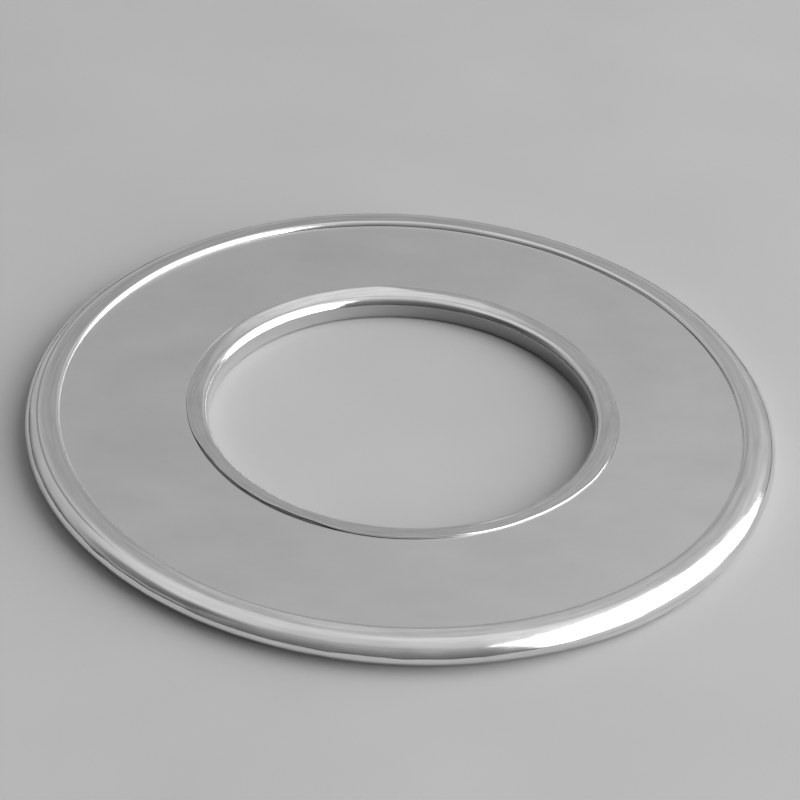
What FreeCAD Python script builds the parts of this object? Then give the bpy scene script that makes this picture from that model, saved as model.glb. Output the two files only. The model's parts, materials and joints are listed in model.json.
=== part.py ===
import FreeCAD, Part
import math
import os

# Metal flange gasket, millimetres. It lies flat: +Z up, origin at the centre of its lower seating face.
# All three pieces are turned about the Z axis from a section drawn in radius and height.

# Ring size
outerDiameter = 95.3
boreDiameter = 49.2

# Layers, from the lower seating face up
sheetThickness = 0.45        # folded jacket sheet
fillerThickness = 2.3
coverThickness = 0.45
lapClearance = 0.05          # between the cover and the laps folded over it

# Outer wall and its lap
outerLapWidth = 4.4          # from the outer diameter to the foot of the lap's free edge
outerLapSlope = 4.0          # degrees; the pressed lap runs down towards the rim
edgeBurnish = 0.65           # width of the rounded-over free edge
rimLift = 0.05               # the rim is widest this much above half the ring's height

# Bore wall and its lap, which is pressed down into the cover
innerLapWidth = 2.8          # from the bore to the lap's square cut edge
innerLapStep = 0.25          # the cut edge stands this much higher than the cover
innerLapFall = 0.25          # the lap falls this much before the fold over the bore begins
cutEdgeRadius = 0.08         # the cut edge has its burr broken
lipBendRadius = 0.45         # inside radius of the fold over the bore
footBendRadius = 0.1         # inside radius of the fold under the bore

# The cover's step down under the inner lap, inside radii of its two bends
stepBendRadius = 0.05
stepCurlRadius = 0.1

# Hidden ends of the cover and the filler
coverRimGap = 1.3            # from the inside of the outer wall to the cover's edge
coverBoreGap = 0.65          # from the inside of the bore wall to the cover's edge
fillerRimGap = 0.8
fillerSideGap = 0.05
fillerRelief = 0.1           # the filler's shoulders lie this much lower than the cover's underside

outerRadius = outerDiameter / 2
boreRadius = boreDiameter / 2
coverTop = sheetThickness + fillerThickness + coverThickness
coverUnder = coverTop - coverThickness
lapUnder = coverTop + lapClearance
lapTop = lapUnder + sheetThickness
innerLapTop = coverTop + innerLapStep
innerLapUnder = innerLapTop - sheetThickness
innerMarginTop = innerLapUnder - lapClearance

lapFoot = outerRadius - outerLapWidth
crestRadius = lapFoot + edgeBurnish

# The rim is two bends that share the ring's widest line. The upper one runs smoothly into the lap's slope
slopeSine = math.sin(math.radians(outerLapSlope))
slopeCosine = math.cos(math.radians(outerLapSlope))
slopeTangent = slopeSine / slopeCosine
lowerRimRadius = lapTop / 2 + rimLift
rimRise = lapTop - lowerRimRadius - slopeTangent * (outerRadius - crestRadius)
upperRimRadius = rimRise * slopeCosine / (1 - slopeSine)
rimCentre = outerRadius - upperRimRadius
underCentre = outerRadius - lowerRimRadius

lipRadius = sheetThickness + lipBendRadius
lipCentre = boreRadius + lipRadius
lipHeight = innerLapTop - innerLapFall - lipRadius
footRadius = sheetThickness + footBendRadius
footCentre = boreRadius + footRadius

cutEdge = boreRadius + innerLapWidth
ledgeRadius = cutEdge - cutEdgeRadius
marginEdge = cutEdge + lapClearance
coverOuterEdge = outerRadius - sheetThickness - coverRimGap
coverInnerEdge = boreRadius + sheetThickness + coverBoreGap
marginStart = (lapFoot, coverTop)
marginStartUnder = lapFoot - coverThickness * math.tan(math.radians(outerLapSlope / 2))


def point(radius, height):
    return FreeCAD.Vector(radius, 0, height)


def line(start, end):
    return Part.LineSegment(point(*start), point(*end)).toShape()


def onCircle(centre, radius, angle):
    turn = math.radians(angle)
    return (centre[0] + radius * math.cos(turn), centre[1] + radius * math.sin(turn))


def arc(centre, radius, first, last):
    stops = [onCircle(centre, radius, angle) for angle in (first, (first + last) / 2, last)]
    return Part.Arc(*[point(*stop) for stop in stops]).toShape()


def across(centre, start, end, angle):
    """Straight edge through the sheet, from one radius of a bend to another."""
    return line(onCircle(centre, start, angle), onCircle(centre, end, angle))


def angleAt(centre, radius, place):
    """Angle of the circle's upper point at this radius from the axis."""
    return math.degrees(math.acos((place - centre[0]) / radius))


def heightAt(centre, radius, place):
    """Height of the circle's upper point at this radius from the axis."""
    return centre[1] + math.sqrt(radius ** 2 - (place - centre[0]) ** 2)


def fallFrom(start, top, end, bottom):
    """Circle that is level at the start and has fallen to the bottom height at the end."""
    drop = top - bottom
    radius = ((end - start) ** 2 + drop ** 2) / (2 * drop)
    return (start, top - radius), radius


def crownOf(crest, top, bendCentre, bendHeight, bendRadius):
    """Circle that is level at the crest and runs smoothly into the bend beside it."""
    run = bendCentre - crest
    rise = top - bendHeight
    radius = (run ** 2 + rise ** 2 - bendRadius ** 2) / (2 * (rise - bendRadius))
    angle = math.degrees(math.acos(run / (radius - bendRadius)))
    return (crest, top - radius), radius, angle


innerCrownCentre, innerCrownRadius, innerCrownEnd = crownOf(
    ledgeRadius, innerLapTop, lipCentre, lipHeight, lipRadius)

# The cover is flat where it shows, steps down beside the inner lap, and its margins fall under both laps
stepTopRadius = coverThickness + stepBendRadius
stepReach = stepTopRadius + stepCurlRadius
stepTurn = math.degrees(math.acos(1 - (coverTop - innerMarginTop) / stepReach))
coverFlatEdge = marginEdge + stepReach * math.sin(math.radians(stepTurn))
innerLapInside = heightAt(innerCrownCentre, innerCrownRadius - sheetThickness, coverInnerEdge)
innerMarginCentre, innerMarginRadius = fallFrom(
    marginEdge, innerMarginTop, coverInnerEdge, innerLapInside - lapClearance)


def onSlope(start, place, depth):
    """Point, at a radius, of the slope that runs down outwards from the start, at a depth under it."""
    return (place, start[1] - slopeTangent * (place - start[0]) - depth / slopeCosine)


def turned(edges):
    face = Part.Face(Part.Wire(edges))
    return face.revolve(FreeCAD.Vector(0, 0, 0), FreeCAD.Vector(0, 0, 1), 360)


def shellSkin(depth):
    """The shell's surface at a depth into its sheet, from the outer lap's crest round to the inner lap."""
    crest = (crestRadius, lapTop)
    slopeEnd = rimCentre + (upperRimRadius - depth) * slopeSine
    return [
        line(onSlope(crest, crestRadius - depth * slopeSine, depth), onSlope(crest, slopeEnd, depth)),
        arc((rimCentre, lowerRimRadius), upperRimRadius - depth, 90 - outerLapSlope, 0),
        arc((underCentre, lowerRimRadius), lowerRimRadius - depth, 0, -90),
        line((underCentre, depth), (footCentre, depth)),
        arc((footCentre, footRadius), footRadius - depth, -90, -180),
        line((boreRadius + depth, footRadius), (boreRadius + depth, lipHeight)),
        arc((lipCentre, lipHeight), lipRadius - depth, 180, innerCrownEnd),
        arc(innerCrownCentre, innerCrownRadius - depth, innerCrownEnd, 90),
    ]


def jacketShell():
    burnishCentre, burnishRadius = fallFrom(crestRadius, lapTop, lapFoot, lapUnder)
    burnishEnd = angleAt(burnishCentre, burnishRadius, lapFoot)
    crestUnder = (crestRadius - sheetThickness * slopeSine, lapTop - sheetThickness * slopeCosine)
    burnishedEdge = [
        line(crestUnder, (lapFoot, lapUnder)),
        arc(burnishCentre, burnishRadius, burnishEnd, 90),
    ]
    squareEdge = [
        arc((ledgeRadius, innerLapTop - cutEdgeRadius), cutEdgeRadius, 90, 0),
        line((cutEdge, innerLapTop - cutEdgeRadius), (cutEdge, innerLapUnder)),
        line((cutEdge, innerLapUnder), (ledgeRadius, innerLapUnder)),
    ]
    inside = shellSkin(sheetThickness)
    inside.reverse()
    return turned(shellSkin(0) + squareEdge + inside + burnishedEdge)


def coverStep(depth):
    """The cover's surface at a depth into its sheet, from the flat down to the inner margin."""
    bendCentre = (coverFlatEdge, coverTop - stepTopRadius)
    curlCentre = (marginEdge, innerMarginTop + stepCurlRadius)
    return [
        arc(bendCentre, stepTopRadius - depth, 90, 90 + stepTurn),
        arc(curlCentre, stepCurlRadius + depth, stepTurn - 90, -90),
    ]


def coverRing():
    outerEnd = onSlope(marginStart, coverOuterEdge, 0)
    outerEndUnder = onSlope(marginStart, coverOuterEdge - coverThickness * slopeSine, coverThickness)
    innerUnder = innerMarginRadius - coverThickness
    innerEnd = angleAt(innerMarginCentre, innerMarginRadius, coverInnerEdge)
    stepAbove = coverStep(0)
    stepAbove.reverse()
    return turned(stepAbove + [
        line((coverFlatEdge, coverTop), marginStart),
        line(marginStart, outerEnd),
        line(outerEnd, outerEndUnder),
        line(outerEndUnder, (marginStartUnder, coverUnder)),
        line((marginStartUnder, coverUnder), (coverFlatEdge, coverUnder)),
    ] + coverStep(coverThickness) + [
        arc(innerMarginCentre, innerUnder, 90, innerEnd),
        across(innerMarginCentre, innerUnder, innerMarginRadius, innerEnd),
        arc(innerMarginCentre, innerMarginRadius, innerEnd, 90),
    ])


def fillerRing():
    outerEdge = outerRadius - sheetThickness - fillerRimGap
    innerEdge = footCentre + fillerSideGap
    outerTop = onSlope(marginStart, outerEdge, coverThickness)[1] - fillerRelief
    innerTop = heightAt(innerMarginCentre, innerMarginRadius - coverThickness, innerEdge) - fillerRelief
    stepTop = innerMarginTop - coverThickness - fillerRelief
    ledgeEdge = coverFlatEdge + fillerRelief
    innerShoulderCentre, innerShoulder = fallFrom(coverFlatEdge, stepTop, innerEdge, innerTop)
    cornerRadius = lowerRimRadius - sheetThickness - fillerSideGap
    cornerCentre = (underCentre, sheetThickness + cornerRadius)
    cornerEnd = -angleAt(cornerCentre, cornerRadius, outerEdge)
    return turned([
        line((coverFlatEdge, stepTop), (ledgeEdge, coverUnder)),
        line((ledgeEdge, coverUnder), (marginStartUnder, coverUnder)),
        line((marginStartUnder, coverUnder), (outerEdge, outerTop)),
        line((outerEdge, outerTop), onCircle(cornerCentre, cornerRadius, cornerEnd)),
        arc(cornerCentre, cornerRadius, cornerEnd, -90),
        line((underCentre, sheetThickness), (innerEdge, sheetThickness)),
        line((innerEdge, sheetThickness), (innerEdge, innerTop)),
        arc(innerShoulderCentre, innerShoulder, angleAt(innerShoulderCentre, innerShoulder, innerEdge), 90),
    ])


os.makedirs("parts", exist_ok=True)
pieces = {"jacket_shell": jacketShell(), "cover_ring": coverRing(), "filler_ring": fillerRing()}
for name, shape in pieces.items():
    shape.exportStep("parts/" + name + ".step")
    print(name, "valid", shape.isValid(), "volume mm3", round(shape.Volume, 1))
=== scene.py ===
import bpy
import json
import math
from mathutils import Matrix, Vector, noise


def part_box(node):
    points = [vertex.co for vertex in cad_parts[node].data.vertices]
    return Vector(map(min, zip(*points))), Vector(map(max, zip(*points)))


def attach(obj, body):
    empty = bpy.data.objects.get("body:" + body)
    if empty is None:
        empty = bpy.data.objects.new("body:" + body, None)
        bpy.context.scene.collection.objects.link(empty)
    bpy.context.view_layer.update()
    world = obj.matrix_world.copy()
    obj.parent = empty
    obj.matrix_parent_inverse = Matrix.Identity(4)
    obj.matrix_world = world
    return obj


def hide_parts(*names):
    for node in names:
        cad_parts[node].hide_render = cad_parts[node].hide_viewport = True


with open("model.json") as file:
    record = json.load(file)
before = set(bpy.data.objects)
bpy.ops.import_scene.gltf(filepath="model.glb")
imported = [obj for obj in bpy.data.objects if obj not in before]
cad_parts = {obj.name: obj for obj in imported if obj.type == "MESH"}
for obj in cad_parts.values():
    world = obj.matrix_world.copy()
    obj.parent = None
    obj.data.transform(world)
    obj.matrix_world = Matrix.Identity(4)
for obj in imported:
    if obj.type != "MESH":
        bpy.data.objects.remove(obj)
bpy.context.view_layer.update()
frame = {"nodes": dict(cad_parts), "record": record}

mm = 0.001
flatMargin = 0.03 * mm
slack = 0.1 * mm            # what belongs to a lap is found with this much to spare
tiny = 0.01 * mm
samePoint = 0.0001 * mm
sameSeam = 0.001 * mm
sharpAngle = 40             # degrees, past which an edge stays sharp
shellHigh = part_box("jacket_shell")[1]
outerRadius = shellHigh.x
lapTop = shellHigh.z
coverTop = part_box("cover_ring")[1].z
boreRadius = [m for m in frame["record"]["mounts"] if m["name"] == "bore"][0]["dims"]["r_mm"] * mm
print("frame loaded")


# A ring is a section drawn point by point and then spun round the Z axis

def deselectAll():
    if bpy.context.mode != "OBJECT":
        bpy.ops.object.mode_set(mode="OBJECT")
    bpy.ops.object.select_all(action="DESELECT")


def onCircle(centre, radius, degrees):
    turn = math.radians(degrees)
    return (centre[0] + radius * math.cos(turn), centre[1] + radius * math.sin(turn))


def arcPoints(centre, radius, first, last, steps):
    return [onCircle(centre, radius, first + (last - first) * i / steps) for i in range(steps + 1)]


def along(start, end, share):
    return (start[0] + (end[0] - start[0]) * share, start[1] + (end[1] - start[1]) * share)


def linePoints(start, end, steps):
    return [along(start, end, i / steps) for i in range(steps + 1)]


def fallFrom(start, top, end, bottom):
    # circle that is level at the start and has fallen to the bottom height at the end
    drop = top - bottom
    radius = ((end - start) ** 2 + drop ** 2) / (2 * drop)
    endAngle = math.degrees(math.acos((end - start) / radius))
    return (start, top - radius), radius, endAngle


def flatPoints(start, end, steps):
    # a close pair of points at both ends keeps the flat's shading flat up to the bends beside it
    margin = flatMargin / math.dist(start, end)
    return [start] + linePoints(along(start, end, margin), along(start, end, 1 - margin), steps) + [end]


def spinSection(name, outline, steps):
    corners = [Vector((radius, 0, height)) for radius, height in outline]
    deselectAll()
    bpy.ops.mesh.primitive_plane_add(size=mm, location=(0, 0, 0))
    piece = bpy.context.object
    piece.name = piece.data.name = name
    bpy.ops.object.mode_set(mode="EDIT")
    bpy.ops.mesh.merge(type="CENTER")
    bpy.ops.transform.translate(value=corners[0])
    for here, there in zip(corners, corners[1:] + corners[:1]):
        if (there - here).length > samePoint:
            bpy.ops.mesh.extrude_region_move(TRANSFORM_OT_translate={"value": there - here})
    bpy.ops.mesh.select_all(action="SELECT")
    bpy.ops.mesh.remove_doubles(threshold=samePoint)
    bpy.ops.mesh.spin(steps=steps, angle=2 * math.pi, center=(0, 0, 0), axis=(0, 0, 1))
    bpy.ops.mesh.select_all(action="SELECT")
    bpy.ops.mesh.remove_doubles(threshold=sameSeam)
    bpy.ops.mesh.normals_make_consistent(inside=False)
    bpy.ops.object.mode_set(mode="OBJECT")
    bpy.ops.object.shade_smooth_by_angle(angle=math.radians(sharpAngle))
    return piece


def ramp(low, high, value):
    t = min(1, max(0, (value - low) / (high - low)))
    return t * t * (3 - 2 * t)


def wander(angle, waves, seed):
    # smooth uneven curve round the ring, about -1 to 1, with no seam
    return 1.6 * noise.noise(Vector((math.cos(angle) * waves, math.sin(angle) * waves, seed)))


def signedTurn(angle):
    # degrees round from +X, from -180 to 180
    return math.degrees(math.atan2(math.sin(angle), math.cos(angle)))


def between(angle, first, last, soft):
    # 1 on the stretch from the first degree to the last, anticlockwise, with soft ends
    middle = math.radians((first + last) / 2)
    away = abs(signedTurn(angle - middle))
    return 1 - ramp((last - first) / 2, (last - first) / 2 + soft, away)


def stretch(angle, first, last, soft, amount):
    return amount * between(angle, first, last, soft)


# Folded jacket

jacket = {
    "steps": 720,
    "sheet": 0.45 * mm,
    "outerLapWidth": 4.4 * mm,
    "outerLapSlope": 4,             # degrees down towards the rim
    "edgeBurnish": 0.65 * mm,
    "shoulderBend": 3.2 * mm,       # gentle bend from the lap's slope, before the tighter rim
    "shoulderEnd": 30,              # degrees of tilt where the rim's own bend begins
    "widestHeight": 1.55 * mm,
    "innerLapWidth": 2.8 * mm,
    "innerLapStep": 0.22 * mm,
    "innerLapSlope": 6,             # degrees down towards the bore
    "cutEdgeRadius": 0.08 * mm,
    "lipBend": 0.45 * mm,
    "wallBend": 0.85 * mm,          # the fold opens out where it meets the bore wall
    "footBend": 0.1 * mm,
}

# Rolled sheet is never quite even. A stretch is its first and last degree, its soft ends and its amount
rimUneven = {
    # the rim wanders inwards, by a least share of its wave everywhere
    "rimWave": 0.03 * mm, "rimLeast": 0.2, "rimZone": 2 * mm, "rimFoot": 0.8 * mm,
    "nicks": (18, 78, 15, 0.14 * mm), "nickLeast": 0.2,
    "nickZone": 1.4 * mm, "nickHeights": (2.4 * mm, 3 * mm),
    "drawnIn": (220, 285, 25, 0.55 * mm),       # near left, under the widest line
    "drawnInFoot": 0.5 * mm, "drawnInAbove": 0.3 * mm,
    "lapHeights": (2.6 * mm, 3.2 * mm),
    "lapWave": 0.015 * mm, "edgeWave": 0.05 * mm, "edgeZone": 2 * mm,
    "edgeShort": (240, 258, 20, 0.25 * mm),
}
boreUneven = {
    "offCentre": 0.22 * mm, "narrower": 0.04 * mm,      # how the step was trimmed round the bore
    "slowWave": 0.05 * mm, "quickWave": 0.03 * mm,
    "wider": (335, 352, 25, 0.28 * mm), "tighter": (285, 305, 15, -0.14 * mm),
    "gap": (212, 246, 14), "gapWidth": 0.26 * mm, "gapWave": 0.06 * mm,     # uneven, on the near left
    "gapTail": (246, 272, 16, 0.06 * mm),
    "edgeHeight": 0.06 * mm, "edgeWave": 0.015 * mm,        # the cut edge above the cover
    "edgeHeights": [(205, 345, 15, 0.17 * mm), (295, 345, 12, -0.13 * mm),
                    (100, 140, 15, 0.1 * mm), (5, 85, 12, -0.05 * mm)],
    "lipTilt": 0.13 * mm, "lipWave": 0.015 * mm,        # the lip lies lower on the far side
    "lowLip": (75, 145, 40, -0.14 * mm), "lipFoot": 0.6 * mm,
    "pressedShare": 0.92,       # how fully the lap is pressed down to the cut edge's height
}


def coverStepDrift(angle):
    # the jacket at the bore was trimmed a little off centre
    u = boreUneven
    uneven = u["slowWave"] * wander(angle, 1.6, 3.0) + u["quickWave"] * wander(angle, 6, 5.0)
    local = stretch(angle, *u["wider"]) + stretch(angle, *u["tighter"])
    return u["offCentre"] * math.sin(angle) - u["narrower"] + uneven + local


def cutEdgeDrift(angle):
    # on the near left the trimmed edge stands off and leaves a gap of uneven width
    u = boreUneven
    gap = between(angle, *u["gap"]) * (u["gapWidth"] + u["gapWave"] * wander(angle, 11, 9.0))
    return coverStepDrift(angle) - max(0, gap + stretch(angle, *u["gapTail"]))


def cutEdgeHeight(angle):
    # above the cover: pressed flush on the far right, proud on the near side
    u = boreUneven
    local = sum(stretch(angle, *place) for place in u["edgeHeights"])
    return u["edgeHeight"] + local + u["edgeWave"] * wander(angle, 9, 8.0)


def lipHeightChange(angle):
    u = boreUneven
    uneven = u["lipWave"] * wander(angle, 4, 12.0)
    return stretch(angle, *u["lowLip"]) + uneven - u["lipTilt"] * math.sin(angle)


def jacketSection():
    j = jacket
    lapUnder = lapTop - j["sheet"]
    lapFoot = outerRadius - j["outerLapWidth"]
    crest = lapFoot + j["edgeBurnish"]
    slope = math.radians(j["outerLapSlope"])
    turn = math.radians(j["shoulderEnd"])
    shoulder = j["shoulderBend"]
    lowerRim = j["widestHeight"]
    # the two bends meet with one tangent, and the second ends upright at the widest line
    lapRun = outerRadius - crest - shoulder * (1 - math.sin(slope))
    lapFall = lowerRim - lapTop + math.tan(slope) * lapRun + shoulder * math.cos(slope)
    apart = lapFall / (math.cos(turn) - math.tan(slope) * (1 - math.sin(turn)))
    upperRim = shoulder - apart
    rimCentre = (outerRadius - upperRim, lowerRim)
    shoulderCentre = (rimCentre[0] - apart * math.sin(turn), rimCentre[1] - apart * math.cos(turn))
    underCentre = (outerRadius - lowerRim, lowerRim)
    edge, edgeRadius, edgeEnd = fallFrom(crest, lapTop, lapFoot, lapUnder)

    cutEdge = boreRadius + j["innerLapWidth"]
    ledge = cutEdge - j["cutEdgeRadius"]
    innerTop = coverTop + j["innerLapStep"]
    lean = math.radians(j["innerLapSlope"])
    lip = j["sheet"] + j["lipBend"]
    wallBend = j["sheet"] + j["wallBend"]
    shift = (wallBend - lip) * math.cos(math.radians(45))       # the fold's two bends meet halfway
    lipRadius = boreRadius + wallBend - shift
    lipCentre = (lipRadius, innerTop - math.tan(lean) * (ledge - lipRadius) - lip / math.cos(lean))
    wallCentre = (boreRadius + wallBend, lipCentre[1] - shift)
    foot = j["sheet"] + j["footBend"]
    footCentre = (boreRadius + foot, foot)

    def skin(depth, detail):
        lapStart = (crest - depth * math.sin(slope), lapTop - depth * math.cos(slope))
        lapEnd = onCircle((ledge, innerTop), depth, 270 + j["innerLapSlope"])
        shoulderArc = arcPoints(shoulderCentre, shoulder - depth, 90 - j["outerLapSlope"],
                                90 - j["shoulderEnd"], 3 * detail)
        rimArc = arcPoints(rimCentre, upperRim - depth, 90 - j["shoulderEnd"], 0, 4 * detail)
        outerBend = shoulderArc + rimArc[1:]
        lipBend = arcPoints(lipCentre, lip - depth, 135, 90 + j["innerLapSlope"], 3 * detail)
        return (
            linePoints(lapStart, outerBend[0], 3 * detail)
            + outerBend
            + arcPoints(underCentre, lowerRim - depth, 0, -90, 4 * detail)
            + linePoints((underCentre[0], depth), (footCentre[0], depth), 4)
            + arcPoints(footCentre, foot - depth, -90, -180, 2 * detail)
            + linePoints((boreRadius + depth, footCentre[1]), (boreRadius + depth, wallCentre[1]), 3)
            + arcPoints(wallCentre, wallBend - depth, 180, 135, 2 * detail)
            + lipBend
            + flatPoints(lipBend[-1], lapEnd, 4 * detail)
        )

    outer = skin(0, 3)
    inner = skin(j["sheet"], 1)
    return (
        [(lapFoot, lapUnder)]
        + arcPoints(edge, edgeRadius, edgeEnd, 90, 8)
        + outer
        + arcPoints((ledge, innerTop - j["cutEdgeRadius"]), j["cutEdgeRadius"], 90, 0, 4)
        + flatPoints((cutEdge, innerTop - j["cutEdgeRadius"]), (cutEdge, innerTop - j["sheet"]), 1)
        + list(reversed(inner))
    ), lipRadius, lipCentre[1] + lip


def outerChange(angle, radius, height):
    u = rimUneven
    lapFoot = outerRadius - jacket["outerLapWidth"]
    rim = ramp(outerRadius - u["rimZone"], outerRadius, radius) * ramp(0, u["rimFoot"], height)
    out = -u["rimWave"] * rim * (u["rimLeast"] + abs(wander(angle, 9, height / mm * 0.8)))
    under = 1 - ramp(u["drawnInFoot"], jacket["widestHeight"] + u["drawnInAbove"], height)
    out -= stretch(angle, *u["drawnIn"]) * under * ramp(lapFoot, outerRadius, radius)
    lap = ramp(*u["lapHeights"], height)
    free = lap * (1 - ramp(lapFoot, lapFoot + u["edgeZone"], radius))
    out += free * (u["edgeWave"] * wander(angle, 3, 31.0) + stretch(angle, *u["edgeShort"]))

    nick = max(0, wander(angle, 34, height / mm) + u["nickLeast"]) * ramp(*u["nickHeights"], height)
    up = -stretch(angle, *u["nicks"]) * nick * ramp(outerRadius - u["nickZone"], outerRadius, radius)
    up -= u["lapWave"] * lap * abs(wander(angle, 4, 20 + radius / mm * 0.5))
    return out, up


def innerChange(angle, radius, height, lipRadius, lipTop):
    u = boreUneven
    lipChange = lipHeightChange(angle)
    if radius <= lipRadius or height <= lipTop / 2:
        return 0, lipChange * ramp(u["lipFoot"], lipTop, height)
    cutEdge = boreRadius + jacket["innerLapWidth"]
    edgeTop = coverTop + jacket["innerLapStep"]
    lean = math.tan(math.radians(jacket["innerLapSlope"]))
    reach = (radius - lipRadius) / (cutEdge - lipRadius)
    base = edgeTop - lean * (cutEdge - radius)
    start = edgeTop - lean * (cutEdge - lipRadius) + lipChange
    free = start + (edgeTop - start) * reach
    pressed = min(0, coverTop + cutEdgeHeight(angle) - free)
    return cutEdgeDrift(angle) * reach, free + u["pressedShare"] * pressed - base


def roughenJacket(piece, lipRadius, lipTop):
    for vertex in piece.data.vertices:
        x, y, height = vertex.co
        radius = math.hypot(x, y)
        angle = math.atan2(y, x)
        out = up = 0
        if radius > outerRadius - jacket["outerLapWidth"] - slack:
            out, up = outerChange(angle, radius, height)
        elif radius < boreRadius + jacket["innerLapWidth"] + slack:
            out, up = innerChange(angle, radius, height, lipRadius, lipTop)
        scale = 1 + out / radius
        vertex.co = (x * scale, y * scale, height + up)


def makeJacket():
    outline, lipRadius, lipTop = jacketSection()
    piece = spinSection("jacket", outline, jacket["steps"])
    roughenJacket(piece, lipRadius, lipTop)
    print("jacket spun", len(piece.data.vertices))
    return piece


# Flat cover under the laps

cover = {
    "steps": 720,
    "sheet": 0.45 * mm,
    "rimGap": 1.3 * mm,
    "boreGap": 0.65 * mm,
    "innerFall": 0.2 * mm,
    "lapGap": 0.02 * mm,
    "stepDepth": 0.3 * mm,
    "stepBend": 0.07 * mm,
    "stepFollows": (0.3 * mm, 3 * mm),      # out to here the sheet shifts with the trimmed step
    "wave": 0.02 * mm, "waveLevel": 0.5, "waveSwing": 0.8, "waveScale": 0.09,
}


def makeCover():
    c = cover
    slope = math.radians(jacket["outerLapSlope"])
    flatOuter = outerRadius - jacket["outerLapWidth"]
    cutEdge = boreRadius + jacket["innerLapWidth"]
    marginEdge = cutEdge + c["lapGap"]
    marginTop = coverTop - c["stepDepth"]
    edgeOuter = outerRadius - jacket["sheet"] - c["rimGap"]
    edgeInner = boreRadius + jacket["sheet"] + c["boreGap"]
    edgeTop = coverTop - math.tan(slope) * (edgeOuter - flatOuter)
    inner, innerBend, innerEnd = fallFrom(marginEdge, marginTop, edgeInner, marginTop - c["innerFall"])
    edgeUnder = (edgeOuter - c["sheet"] * math.sin(slope), edgeTop - c["sheet"])
    coverUnder = coverTop - c["sheet"]
    bend = (marginEdge + c["stepBend"], coverTop - c["stepBend"])
    outline = (
        arcPoints(inner, innerBend, innerEnd, 90, 4)
        + arcPoints(bend, c["stepBend"], 180, 90, 3)
        + flatPoints((bend[0], coverTop), (flatOuter, coverTop), 16)
        + [(edgeOuter, edgeTop), edgeUnder, (flatOuter, coverUnder), (marginEdge + c["sheet"], coverUnder)]
        + arcPoints(inner, innerBend - c["sheet"], 90, innerEnd, 3)
    )
    piece = spinSection("cover", outline, c["steps"])
    full, ends = c["stepFollows"]
    for vertex in piece.data.vertices:
        x, y, height = vertex.co
        radius = math.hypot(x, y)
        angle = math.atan2(y, x)
        follow = 1 - ramp(marginEdge + full, marginEdge + ends, radius)
        scale = 1 + coverStepDrift(angle) * follow / radius
        swing = c["waveSwing"] * noise.noise(vertex.co / mm * c["waveScale"])
        sag = max(0, c["wave"] * (c["waveLevel"] + swing))
        if radius < marginEdge + tiny:          # pressed down with the lap above it
            sag = max(0, jacket["innerLapStep"] - cutEdgeHeight(angle))
        vertex.co = (x * scale, y * scale, height - sag)
    print("cover spun", len(piece.data.vertices))
    return piece


# Materials

def newMaterial(name):
    material = bpy.data.materials.new(name)
    material.use_nodes = True
    return material, material.node_tree.nodes["Principled BSDF"]


def node(material, kind, **values):
    made = material.node_tree.nodes.new(kind)
    for key, value in values.items():
        if key.startswith("in_"):
            made.inputs[key[3:].replace("_", " ")].default_value = value
        else:
            setattr(made, key, value)
    return made


def link(material, source, target):
    material.node_tree.links.new(source, target)


def objectPlace(m):
    # the place seen from above, the height and the place from left to right
    place = node(m, "ShaderNodeTexCoord")
    flat = node(m, "ShaderNodeVectorMath", operation="MULTIPLY")
    link(m, place.outputs["Object"], flat.inputs[0])
    flat.inputs[1].default_value = (1, 1, 0)
    split = node(m, "ShaderNodeSeparateXYZ")
    link(m, place.outputs["Object"], split.inputs[0])
    return flat.outputs[0], split.outputs["Z"], split.outputs["X"]


def alongRing(m, around, across, seed):
    # coordinates that run long round the ring and short across its section
    flat, height = objectPlace(m)[:2]
    size = node(m, "ShaderNodeVectorMath", operation="LENGTH")
    link(m, flat, size.inputs[0])
    heading = node(m, "ShaderNodeVectorMath", operation="NORMALIZE")
    link(m, flat, heading.inputs[0])
    long = node(m, "ShaderNodeVectorMath", operation="SCALE")
    long.inputs["Scale"].default_value = around
    link(m, heading.outputs[0], long.inputs[0])
    section = node(m, "ShaderNodeMath", operation="ADD")
    link(m, size.outputs["Value"], section.inputs[0])
    link(m, height, section.inputs[1])
    short = node(m, "ShaderNodeMath", operation="MULTIPLY_ADD")
    short.inputs[1].default_value = across / mm
    short.inputs[2].default_value = seed
    link(m, section.outputs[0], short.inputs[0])
    lift = node(m, "ShaderNodeCombineXYZ")
    link(m, short.outputs[0], lift.inputs["Z"])
    both = node(m, "ShaderNodeVectorMath", operation="ADD")
    link(m, long.outputs[0], both.inputs[0])
    link(m, lift.outputs[0], both.inputs[1])
    return both.outputs[0]


def stretched(m, scale):
    place = node(m, "ShaderNodeTexCoord")
    mapping = node(m, "ShaderNodeMapping")
    mapping.inputs["Scale"].default_value = [part / mm for part in scale]
    link(m, place.outputs["Object"], mapping.inputs["Vector"])
    return mapping.outputs[0]


def clouds(m, vector, detail):
    made = node(m, "ShaderNodeTexNoise", in_Scale=1, in_Detail=detail)
    link(m, vector, made.inputs["Vector"])
    return made.outputs["Fac"]


def spread(m, value, low, high):
    # noise lies mostly between 0.3 and 0.7
    made = node(m, "ShaderNodeMapRange")
    made.inputs["From Min"].default_value = 0.3
    made.inputs["From Max"].default_value = 0.7
    made.inputs["To Min"].default_value = low
    made.inputs["To Max"].default_value = high
    link(m, value, made.inputs["Value"])
    return made.outputs["Result"]


def tint(m, value, dark, pale):
    made = node(m, "ShaderNodeMix", data_type="RGBA")
    made.inputs["A"].default_value = (*dark, 1)
    made.inputs["B"].default_value = (*pale, 1)
    link(m, value, made.inputs["Factor"])
    return made.outputs["Result"]


def bump(m, height, depth, onto=None):
    made = node(m, "ShaderNodeBump", in_Strength=1, in_Distance=depth)
    link(m, height, made.inputs["Height"])
    if onto:
        link(m, onto, made.inputs["Normal"])
    return made.outputs["Normal"]


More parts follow.
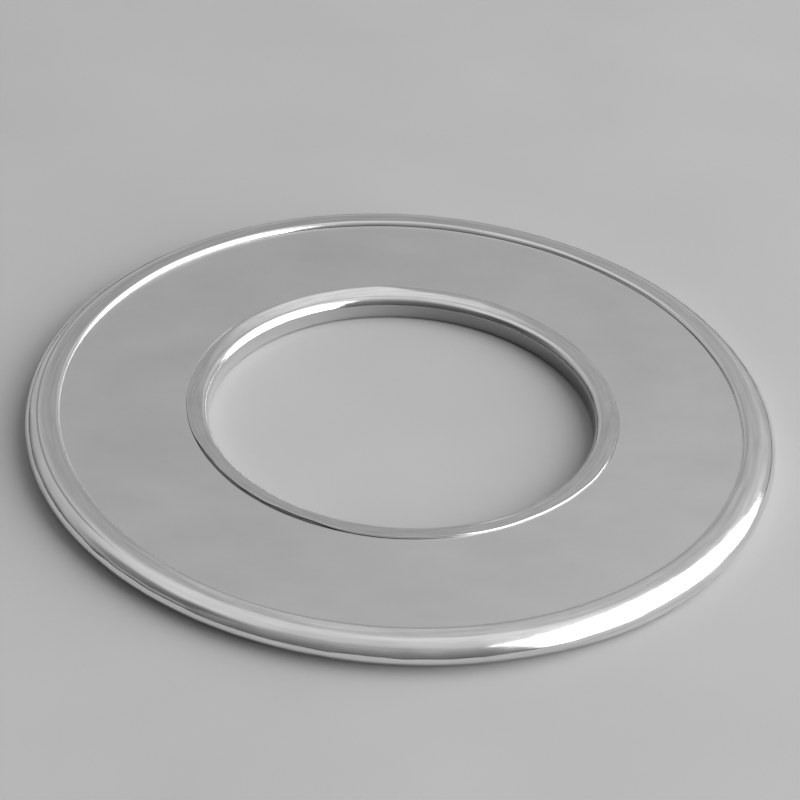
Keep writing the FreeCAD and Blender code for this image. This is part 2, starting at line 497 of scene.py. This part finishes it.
polished = {
    "dark": (0.78, 0.78, 0.785), "pale": (0.92, 0.92, 0.925),
    "roughLow": 0.08, "roughHigh": 0.2,
    # marks along the ring: how many round it, how many in a millimetre across it, seed
    "lines": (7, 3.2, 0.0), "lineDepth": 0.004 * mm,
    "wipes": (6, 2.4, 40.0),
    "dents": (0.35, 0.35, 0.7), "dentDepth": 0.02 * mm,
    # the outer lap's free edge is rubbed dull on the left; reach is measured in from the side
    "worn": (0.88, 0.88, 0.88), "wornRough": 0.4, "wornWidth": 0.22 * mm, "wornDepth": 0.6 * mm,
    "wornReach": 30 * mm,
    "wall": (0.8, 0.8, 0.805), "wallHeight": 1.2 * mm, "wallSpan": 2 * mm, "wallDepth": 0.5 * mm,
    # the bore wall's darker colour on the right is painted shade, standing in for the shadowed floor that
    # the wall mirrors there
    "paintedWallShade": (0.32, 0.32, 0.325), "paintedWallShadeReach": 66 * mm,      # from the right
    # painted shade: a thin grey line along the outer lap on the left stands in for the shading of a crease
    # there
    "creaseShade": (0.5, 0.5, 0.5), "creaseShadeWidth": 0.14 * mm, "creaseShadeIn": 1.6 * mm,
    "creaseShadeReach": 17 * mm,         # along the outer lap, on the left
}


def near(m, value, middle, width):
    # 1 where the value is close to the middle, falling softly to 0 at the width
    away = node(m, "ShaderNodeMath", operation="SUBTRACT")
    link(m, value, away.inputs[0])
    away.inputs[1].default_value = middle
    size = node(m, "ShaderNodeMath", operation="ABSOLUTE")
    link(m, away.outputs[0], size.inputs[0])
    made = node(m, "ShaderNodeMapRange", interpolation_type="SMOOTHSTEP")
    made.inputs["From Min"].default_value = width
    made.inputs["From Max"].default_value = width * 0.6
    link(m, size.outputs[0], made.inputs["Value"])
    return made.outputs["Result"]


def product(m, first, second):
    made = node(m, "ShaderNodeMath", operation="MULTIPLY")
    link(m, first, made.inputs[0])
    link(m, second, made.inputs[1])
    return made.outputs[0]


def painted(m, mask, ground, colour):
    made = node(m, "ShaderNodeMix", data_type="RGBA")
    link(m, mask, made.inputs["Factor"])
    link(m, ground, made.inputs["A"])
    made.inputs["B"].default_value = (*colour, 1)
    return made.outputs["Result"]


def blended(m, mask, ground, value):
    made = node(m, "ShaderNodeMix", data_type="FLOAT")
    link(m, mask, made.inputs["Factor"])
    link(m, ground, made.inputs["A"])
    made.inputs["B"].default_value = value
    return made.outputs["Result"]


def ringPlace(m):
    flat, height, side = objectPlace(m)
    size = node(m, "ShaderNodeVectorMath", operation="LENGTH")
    link(m, flat, size.inputs[0])
    return size.outputs["Value"], height, side


def polishedSheet():
    m, shader = newMaterial("polishedSheet")
    shader.inputs["Metallic"].default_value = 1
    p = polished
    lines = clouds(m, alongRing(m, *p["lines"]), 3)
    wipes = spread(m, clouds(m, alongRing(m, *p["wipes"]), 4), 0, 1)
    dents = clouds(m, stretched(m, p["dents"]), 2)
    radius, height, side = ringPlace(m)
    lapFoot = outerRadius - jacket["outerLapWidth"]
    worn = product(m, near(m, radius, lapFoot, p["wornWidth"]), near(m, height, lapTop, p["wornDepth"]))
    worn = product(m, worn, near(m, side, -outerRadius, p["wornReach"]))
    wall = product(m, near(m, radius, boreRadius, p["wallDepth"]),
                   near(m, height, p["wallHeight"], p["wallSpan"]))
    # painted shade on the right of the bore wall
    paintedWallShade = product(m, wall, near(m, side, outerRadius, p["paintedWallShadeReach"]))
    # painted shade along a crease on the outer lap's left
    creaseShade = product(m, near(m, radius, outerRadius - p["creaseShadeIn"], p["creaseShadeWidth"]),
                     near(m, side, -outerRadius, p["creaseShadeReach"]))
    colour = painted(m, worn, tint(m, wipes, p["dark"], p["pale"]), p["worn"])
    colour = painted(m, creaseShade, colour, p["creaseShade"])
    colour = painted(m, wall, colour, p["wall"])
    link(m, painted(m, paintedWallShade, colour, p["paintedWallShade"]), shader.inputs["Base Color"])
    rough = spread(m, lines, p["roughLow"], p["roughHigh"])
    link(m, blended(m, worn, rough, p["wornRough"]), shader.inputs["Roughness"])
    uneven = bump(m, dents, p["dentDepth"])
    link(m, bump(m, lines, p["lineDepth"], onto=uneven), shader.inputs["Normal"])
    return m


satin = {
    # margin is painted shade: the cover is near black where it lies under the laps, standing in for the
    # shade in the gaps
    "dark": (0.82, 0.825, 0.825), "pale": (0.9, 0.9, 0.895), "margin": (0.12, 0.12, 0.12),
    "underLapShadeHeight": 1.1 * mm, "underLapShadeSpan": 1.05 * mm,      # under the cover's top
    "roughLow": 0.28, "roughHigh": 0.3,
    "grain": (0.12, 5.0, 1.0), "grainDepth": 0.00015 * mm,
    "patches": (0.09, 0.13, 0.1),
}


def satinSheet():
    m, shader = newMaterial("satinSheet")
    shader.inputs["Metallic"].default_value = 1
    s = satin
    grain = clouds(m, stretched(m, s["grain"]), 3)
    patches = spread(m, clouds(m, stretched(m, s["patches"]), 6), 0, 1)
    height = ringPlace(m)[1]
    underLapShade = near(m, height, coverTop - s["underLapShadeHeight"], s["underLapShadeSpan"])     # painted shade, near black under the laps
    colour = tint(m, patches, s["dark"], s["pale"])
    link(m, painted(m, underLapShade, colour, s["margin"]), shader.inputs["Base Color"])
    link(m, spread(m, grain, s["roughLow"], s["roughHigh"]), shader.inputs["Roughness"])
    link(m, bump(m, grain, s["grainDepth"]), shader.inputs["Normal"])
    return m


graphite = {
    "dark": (0.03, 0.03, 0.032), "pale": (0.075, 0.075, 0.08),
    "roughLow": 0.5, "roughHigh": 0.75,
    "flakes": (1.5, 1.5, 6.0), "flakeDepth": 0.03 * mm,
}


def graphiteBoard():
    m, shader = newMaterial("graphiteBoard")
    g = graphite
    flakes = clouds(m, stretched(m, g["flakes"]), 4)
    link(m, tint(m, flakes, g["dark"], g["pale"]), shader.inputs["Base Color"])
    link(m, spread(m, flakes, g["roughLow"], g["roughHigh"]), shader.inputs["Roughness"])
    link(m, bump(m, flakes, g["flakeDepth"]), shader.inputs["Normal"])
    return m


def dress(piece, material, nodeName):
    piece.data.materials.append(material)
    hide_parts(nodeName)
    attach(piece, "root")


dress(makeJacket(), polishedSheet(), "jacket_shell")
dress(makeCover(), satinSheet(), "cover_ring")
frame["nodes"]["filler_ring"].material_slots[0].material = graphiteBoard()
print("pieces dressed")


# Table top

table = {
    "size": 1.36,
    "dark": (0.404, 0.404, 0.404), "pale": (0.43, 0.43, 0.43), "mottle": (0.03, 0.03, 0.03),
    "rough": 0.9, "gloss": 0.1,
}


def makeTable():
    deselectAll()
    bpy.ops.mesh.primitive_plane_add(size=table["size"], location=(0, 0, 0))
    top = bpy.context.object
    top.name = "tableTop"
    m, shader = newMaterial("tableTop")
    mottle = spread(m, clouds(m, stretched(m, table["mottle"]), 5), 0, 1)
    link(m, tint(m, mottle, table["dark"], table["pale"]), shader.inputs["Base Color"])
    shader.inputs["Roughness"].default_value = table["rough"]
    shader.inputs["Specular IOR Level"].default_value = table["gloss"]
    top.data.materials.append(m)


makeTable()


# Light: one large window to the right, a pale room, and darker cloths where the metal needs an edge

window = {
    "facing": (0.947, 0.237, 0.218),      # towards the table, and its two edges
    "across": (-0.134, 0.905, -0.403),
    "upward": (-0.293, 0.352, 0.889),
    "left": -1.712, "right": 0.25,      # metres at a distance of one
    "panes": [(-0.85, 0.5, 4.2), (0.5, 1.4, 2.1)],      # lower edge, upper edge, radiance
}
room = {
    "shades": {0.3: 0.44, 0.5: 0.46, 0.68: 0.49, 0.82: 0.66, 0.93: 0.68, 1.0: 0.56},     # by height
    # places that are darker than the rest: the cosine where each begins and is full, and its loss
    "sides": [
        {"toward": (0, -1, 0), "begins": 0.05, "full": 0.4, "loss": 0.45},
        {"toward": (-0.79, -0.21, 0.574), "begins": 0.88, "full": 0.98, "loss": 0.55},
        {"toward": (-0.028, 0.808, 0.588), "begins": 0.93, "full": 0.985, "loss": 0.26},
        {"toward": (0.406, 0.579, 0.707), "begins": 0.84, "full": 0.97, "loss": -0.2},     # paler
    ],
}
cloths = {
    "leftWall": {"radius": 1, "first": 135, "last": 215, "height": 0.32, "low": 0.08, "high": 0.4},
    "nearWall": {"radius": 1, "first": 215, "last": 305, "height": 0.75, "low": 0.13, "high": 0.27},
    "skirting": {"radius": 0.7, "first": 0, "last": 360, "height": 0.045, "low": 0.03, "high": 0.03},
}
clothSteps = 48


def cloth(name, low, high, height):
    # plain cloth, dark at the table and as pale as the room at its top
    m, shader = newMaterial(name)
    shader.inputs["Base Color"].default_value = (0, 0, 0, 1)
    shader.inputs["Roughness"].default_value = 1
    shader.inputs["Specular IOR Level"].default_value = 0
    place = node(m, "ShaderNodeTexCoord")
    split = node(m, "ShaderNodeSeparateXYZ")
    link(m, place.outputs["Object"], split.inputs[0])
    rise = node(m, "ShaderNodeMapRange")
    rise.inputs["From Max"].default_value = height
    link(m, split.outputs["Z"], rise.inputs["Value"])
    link(m, tint(m, rise.outputs["Result"], (low,) * 3, (high,) * 3), shader.inputs["Emission Color"])
    shader.inputs["Emission Strength"].default_value = 1
    return m


def curtain(name, c):
    deselectAll()
    bpy.ops.mesh.primitive_plane_add(size=mm, location=(0, 0, 0))
    sheet = bpy.context.object
    sheet.name = name
    bpy.ops.object.mode_set(mode="EDIT")
    bpy.ops.mesh.merge(type="CENTER")
    bpy.ops.transform.translate(value=(*onCircle((0, 0), c["radius"], c["first"]), 0))
    bpy.ops.mesh.extrude_region_move(TRANSFORM_OT_translate={"value": (0, 0, c["height"])})
    bpy.ops.mesh.select_all(action="SELECT")
    turn = math.radians(c["last"] - c["first"])
    bpy.ops.mesh.spin(steps=clothSteps, angle=-turn, center=(0, 0, 0), axis=(0, 0, 1))
    bpy.ops.mesh.select_all(action="SELECT")
    bpy.ops.mesh.remove_doubles(threshold=sameSeam)
    bpy.ops.object.mode_set(mode="OBJECT")
    sheet.data.materials.append(cloth(name, c["low"], c["high"], c["height"]))
    sheet.visible_camera = False
    return sheet


def spareCover(lamp):
    # the low pane doesn't light the satin sheet, which would glare from the far side
    spared = bpy.data.collections.new("sparedByWindow")
    spared.objects.link(bpy.data.objects["cover"])
    spared.collection_objects[0].light_linking.link_state = "EXCLUDE"
    lamp.light_linking.receiver_collection = spared


def makeWindow():
    w = window
    facing, across, upward = Vector(w["facing"]), Vector(w["across"]), Vector(w["upward"])
    width = w["right"] - w["left"]
    for low, high, radiance in w["panes"]:
        middle = facing + across * (w["left"] + w["right"]) / 2 + upward * (low + high) / 2
        deselectAll()
        bpy.ops.object.light_add(type="AREA", location=middle)
        lamp = bpy.context.object
        lamp.name = "windowPane"
        lamp.rotation_euler = Matrix((across, upward, facing)).transposed().to_euler()
        lamp.data.shape = "RECTANGLE"
        lamp.data.size = width
        lamp.data.size_y = high - low
        lamp.data.energy = radiance * math.pi * width * (high - low)
        if low < 0:
            spareCover(lamp)


def shaded(world, direction, light, side):
    # the room softly gets darker, or paler, towards one side
    dot = node(world, "ShaderNodeVectorMath", operation="DOT_PRODUCT")
    link(world, direction, dot.inputs[0])
    dot.inputs[1].default_value = side["toward"]
    keep = node(world, "ShaderNodeMapRange", interpolation_type="SMOOTHSTEP")
    keep.inputs["From Min"].default_value = side["begins"]
    keep.inputs["From Max"].default_value = side["full"]
    keep.inputs["To Min"].default_value = 1
    keep.inputs["To Max"].default_value = 1 - side["loss"]
    link(world, dot.outputs["Value"], keep.inputs["Value"])
    made = node(world, "ShaderNodeVectorMath", operation="SCALE")
    link(world, light, made.inputs[0])
    link(world, keep.outputs["Result"], made.inputs["Scale"])
    return made.outputs[0]


def makeRoom():
    world = bpy.data.worlds.new("room")
    bpy.context.scene.world = world
    world.use_nodes = True
    place = node(world, "ShaderNodeTexCoord")
    split = node(world, "ShaderNodeSeparateXYZ")
    link(world, place.outputs["Generated"], split.inputs[0])
    shade = node(world, "ShaderNodeValToRGB")
    stops = shade.color_ramp.elements
    stops.remove(stops[1])
    for height, value in room["shades"].items():
        stop = stops.new(height)
        stop.color = (value, value, value, 1)
    stops.remove(stops[0])
    link(world, split.outputs["Z"], shade.inputs["Fac"])
    light = shade.outputs["Color"]
    for side in room["sides"]:
        light = shaded(world, place.outputs["Generated"], light, side)
    link(world, light, world.node_tree.nodes["Background"].inputs["Color"])


def makeCloths():
    sheets = {name: curtain(name, c) for name, c in cloths.items()}
    edge = sheets["skirting"]       # only mirrored, as the dark edge of the table
    edge.visible_diffuse = edge.visible_shadow = False


makeWindow()
makeRoom()
makeCloths()
print("lights set")


# Camera, on the photograph's side

view = {
    "aim": (-0.35 * mm, 5.57 * mm, 0),
    "distance": 330.8 * mm,
    "tilt": 35.51,          # degrees above the table
    "roll": 3.65,
    "lens": 114.75,
    "sensor": 36,
    "nearest": 10 * mm,
}


def makeCamera():
    tilt = math.radians(view["tilt"])
    aim = Vector(view["aim"])
    back = Vector((0, -math.cos(tilt), math.sin(tilt)))
    deselectAll()
    bpy.ops.object.camera_add(location=aim + back * view["distance"])
    camera = bpy.context.object
    roll = Matrix.Rotation(math.radians(view["roll"]), 3, "Z")
    camera.rotation_euler = (Matrix.Rotation(math.pi / 2 - tilt, 3, "X") @ roll).to_euler()
    camera.data.sensor_width = view["sensor"]
    camera.data.lens = view["lens"]
    camera.data.clip_start = view["nearest"]
    bpy.context.scene.camera = camera


makeCamera()
bpy.context.scene.view_settings.view_transform = "Standard"
